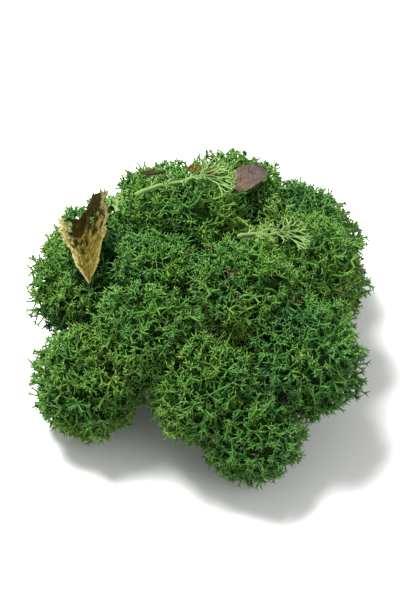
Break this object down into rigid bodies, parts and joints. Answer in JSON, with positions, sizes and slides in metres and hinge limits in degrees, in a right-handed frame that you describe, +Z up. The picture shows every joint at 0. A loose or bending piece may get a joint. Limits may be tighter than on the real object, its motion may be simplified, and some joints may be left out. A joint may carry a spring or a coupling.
{
  "type": "reindeer moss clump",
  "caption": "Low cushion of dyed green reindeer moss: domed heads of star-tipped twigs on forked stems, with loose stems and leaf litter on top.",
  "frame": {"origin": "centre of the clump's bounding box in plan, on the plane that the cut stem feet stand on", "axes": "+Z up; the clump is looked at from -Y, with its front tip towards -Y and the curled leaf at -X, +Y"},
  "size_m": [0.091, 0.1002, 0.0516],
  "materials": {
    "moss_mid_green": "matte",
    "moss_deep_green": "matte",
    "moss_blue_green": "matte",
    "moss_warm_green": "matte",
    "moss_pale_stem": "matte",
    "leaf_tan": "satin",
    "leaf_plum": "satin",
    "scale_rust": "satin",
    "needle_brown": "satin"
  },
  "bodies": {
    "root": {"head_crown": "moss_mid_green", "head_crown_small": "moss_deep_green", "head_middle": "moss_mid_green", "head_middle_left": "moss_mid_green", "head_front": "moss_warm_green", "head_front_tip": "moss_deep_green", "head_front_right": "moss_blue_green", "head_front_left": "moss_warm_green", "head_left": "moss_mid_green", "head_right": "moss_warm_green", "head_back": "moss_mid_green", "head_back_right": "moss_blue_green", "head_back_left": "moss_deep_green", "head_far_left": "moss_mid_green", "loose_stem_long": "moss_pale_stem", "loose_stem_upright": "moss_pale_stem", "loose_stem_curved": "moss_pale_stem", "curled_leaf": "leaf_tan", "round_leaf": "leaf_plum", "bud_scale": "scale_rust", "dry_needle": "needle_brown"}
  },
  "joints": []
}
